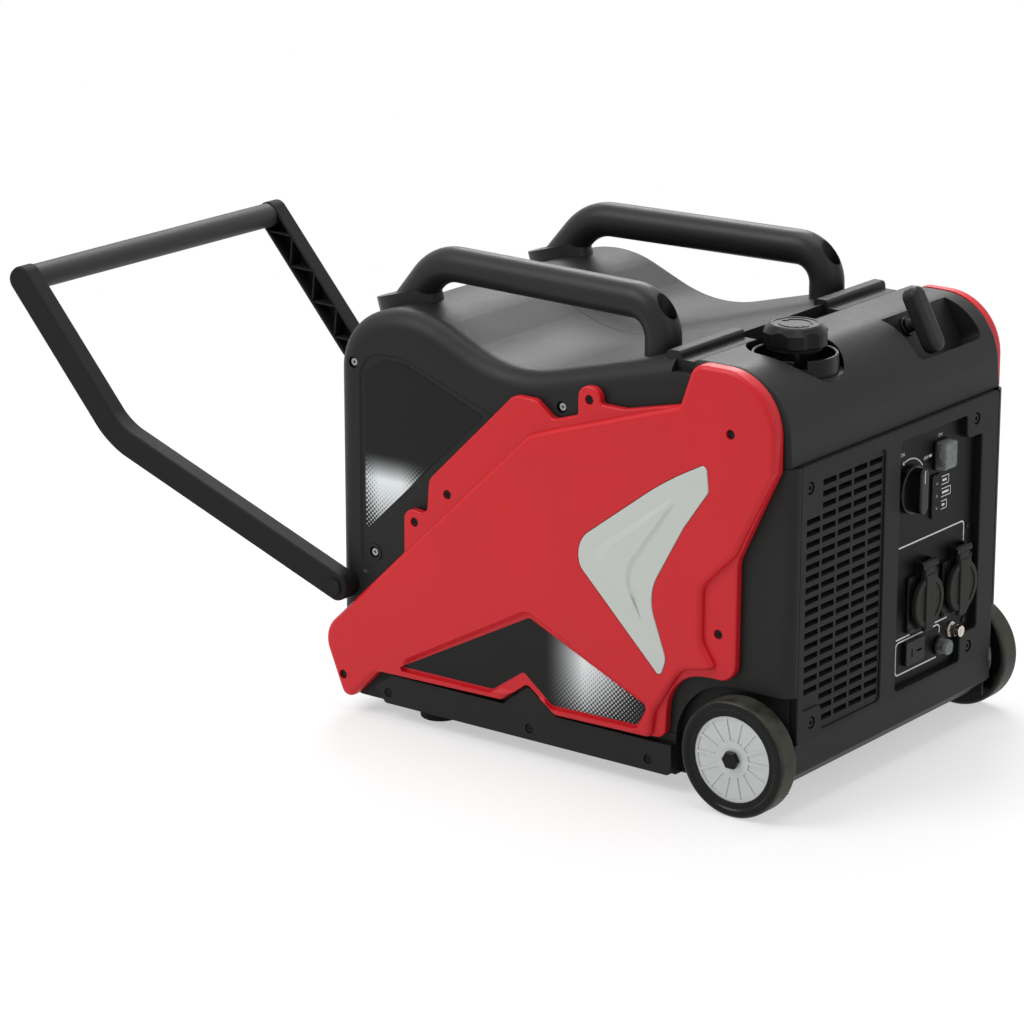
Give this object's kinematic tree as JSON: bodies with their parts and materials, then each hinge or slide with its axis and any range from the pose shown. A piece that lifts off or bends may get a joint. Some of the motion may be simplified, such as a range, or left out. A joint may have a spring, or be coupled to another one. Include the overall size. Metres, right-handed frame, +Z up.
{
  "type": "portable generator",
  "caption": "Portable inverter generator in a moulded case with carry handles, a fold-out tow handle, wheels, a control panel with lidded sockets, a fuel cap and a recoil starter.",
  "frame": {"origin": "on the floor, at the middle of the bounding box with the tow handle drawn out", "axes": "+X towards the control panel, +Z up, the object is symmetric in its main form about y = 0"},
  "size_m": [1.0212, 0.453, 0.4995],
  "materials": {
    "case_plastic": "fine grained moulding",
    "hood_plastic": "satin",
    "base_plastic": "grained moulding",
    "red_plastic": "satin moulding",
    "accent_plastic": "satin paint",
    "handle_plastic": "grained",
    "tow_steel": "black powder coat",
    "hub_plastic": "silver satin",
    "tyre": "satin",
    "foot_rubber": "matte",
    "steel": "zinc plated",
    "dark_steel": "black oxide",
    "control_plastic": "gloss",
    "clear_plastic": "clear cap",
    "brass": "nickelled brass",
    "tank_plastic": "blow moulded",
    "aluminium": "die cast",
    "muffler_steel": "heat-proof paint",
    "rope": "braided cord",
    "copper": "windings"
  },
  "bodies": {
    "housing": {"left_case": "case_plastic", "right_case": "case_plastic", "base_tray": "base_plastic", "front_hood": "hood_plastic", "front_panel": "case_plastic", "inlet_grille": "case_plastic", "control_plate": "control_plastic", "rear_cover": "case_plastic", "left_side_cover": "red_plastic", "right_side_cover": "red_plastic", "left_accent": "accent_plastic", "right_accent": "accent_plastic", "stub_axles": "steel", "axle_nuts": "dark_steel", "rubber_feet": "foot_rubber", "left_carry_handle": "handle_plastic", "right_carry_handle": "handle_plastic", "handle_collars": "handle_plastic", "tow_pins": "dark_steel", "drip_collar": "hood_plastic", "filler_neck": "tank_plastic", "fuel_tank": "tank_plastic", "rope_guide": "control_plastic", "starter_rope": "rope", "recoil_housing": "dark_steel", "switch_bezels": "control_plastic", "status_display": "control_plastic", "ac_socket_1": "control_plastic", "ac_socket_2": "control_plastic", "dc_socket": "control_plastic", "earth_terminal": "brass", "crankcase": "aluminium", "cylinder": "aluminium", "cylinder_cover": "aluminium", "stator": "copper", "muffler": "muffler_steel", "air_filter_box": "tank_plastic", "carburettor": "aluminium", "inverter_module": "aluminium", "engine_mounts": "foot_rubber", "case_screws": "steel", "cover_screws": "dark_steel", "front_screws": "dark_steel"},
    "tow_handle": {"left_tow_arm": "handle_plastic", "right_tow_arm": "handle_plastic", "tow_grip": "tow_steel"},
    "left_wheel": {"left_tyre": "tyre", "left_wheel_hub": "hub_plastic"},
    "right_wheel": {"right_tyre": "tyre", "right_wheel_hub": "hub_plastic"},
    "cap_core": {"cap_insert": "foot_rubber"},
    "cap": {"fuel_cap": "control_plastic"},
    "starter_grip": {"recoil_grip": "handle_plastic"},
    "starter_pulley": {"recoil_pulley": "tank_plastic"},
    "switch_knob": {"engine_switch": "control_plastic"},
    "eco_rocker": {"eco_rocker": "clear_plastic"},
    "lid_1": {"socket_lid_1": "control_plastic"},
    "lid_2": {"socket_lid_2": "control_plastic"},
    "breaker": {"breaker_button": "clear_plastic"},
    "crank_rotor": {"rotor": "aluminium"}
  },
  "joints": [
    {"name": "tow_fold", "type": "hinge", "parent": "housing", "child": "tow_handle", "pos_m": [-0.05483, 0, 0.138], "axis": [0, 1, 0], "range_deg": [0, 98]},
    {"name": "left_wheel_spin", "type": "hinge", "parent": "housing", "child": "left_wheel", "pos_m": [0.45017, 0, 0.06], "axis": [0, 1, 0], "continuous": true},
    {"name": "right_wheel_spin", "type": "hinge", "parent": "housing", "child": "right_wheel", "pos_m": [0.45017, 0, 0.06], "axis": [0, 1, 0], "continuous": true},
    {"name": "cap_lift", "type": "slide", "parent": "housing", "child": "cap_core", "axis": [0, 0, 1], "range_m": [0, 0.12]},
    {"name": "cap_turn", "type": "hinge", "parent": "cap_core", "child": "cap", "pos_m": [0.43117, -0.095, 0.45], "axis": [0, 0, 1], "range_deg": [0, 90]},
    {"name": "starter_pull", "type": "slide", "parent": "housing", "child": "starter_grip", "axis": [0.8829, 0, 0.4695], "range_m": [0, 0.8], "stiffness_N_per_m": 20, "deforming": ["starter_rope"]},
    {"name": "pulley_spin", "type": "hinge", "parent": "housing", "child": "starter_pulley", "pos_m": [0.22512, 0.088, 0.24943], "axis": [0, 1, 0], "range_deg": [0, 792.2]},
    {"name": "switch_turn", "type": "hinge", "parent": "housing", "child": "switch_knob", "pos_m": [0.49217, 0.025, 0.285], "axis": [-1, 0, 0], "range_deg": [0, 90]},
    {"name": "eco_rock", "type": "hinge", "parent": "housing", "child": "eco_rocker", "pos_m": [0.49392, 0.082, 0.309], "axis": [0, 1, 0], "range_deg": [0, 18]},
    {"name": "lid_1_open", "type": "hinge", "parent": "housing", "child": "lid_1", "pos_m": [0.50067, 0.052, 0.201], "axis": [0, -1, 0], "range_deg": [0, 100], "stiffness_Nm_per_rad": 0.03},
    {"name": "lid_2_open", "type": "hinge", "parent": "housing", "child": "lid_2", "pos_m": [0.50067, 0.118, 0.201], "axis": [0, -1, 0], "range_deg": [0, 100], "stiffness_Nm_per_rad": 0.03},
    {"name": "breaker_press", "type": "slide", "parent": "housing", "child": "breaker", "axis": [-1, 0, 0], "range_m": [0, 0.003], "stiffness_N_per_m": 600},
    {"name": "crank_spin", "type": "hinge", "parent": "housing", "child": "crank_rotor", "pos_m": [0.22512, 0, 0.24943], "axis": [0, 1, 0], "continuous": true}
  ],
  "couplings": [
    {"joint": "pulley_spin", "follows": "starter_pull", "rad_per_m": 17.271}
  ]
}
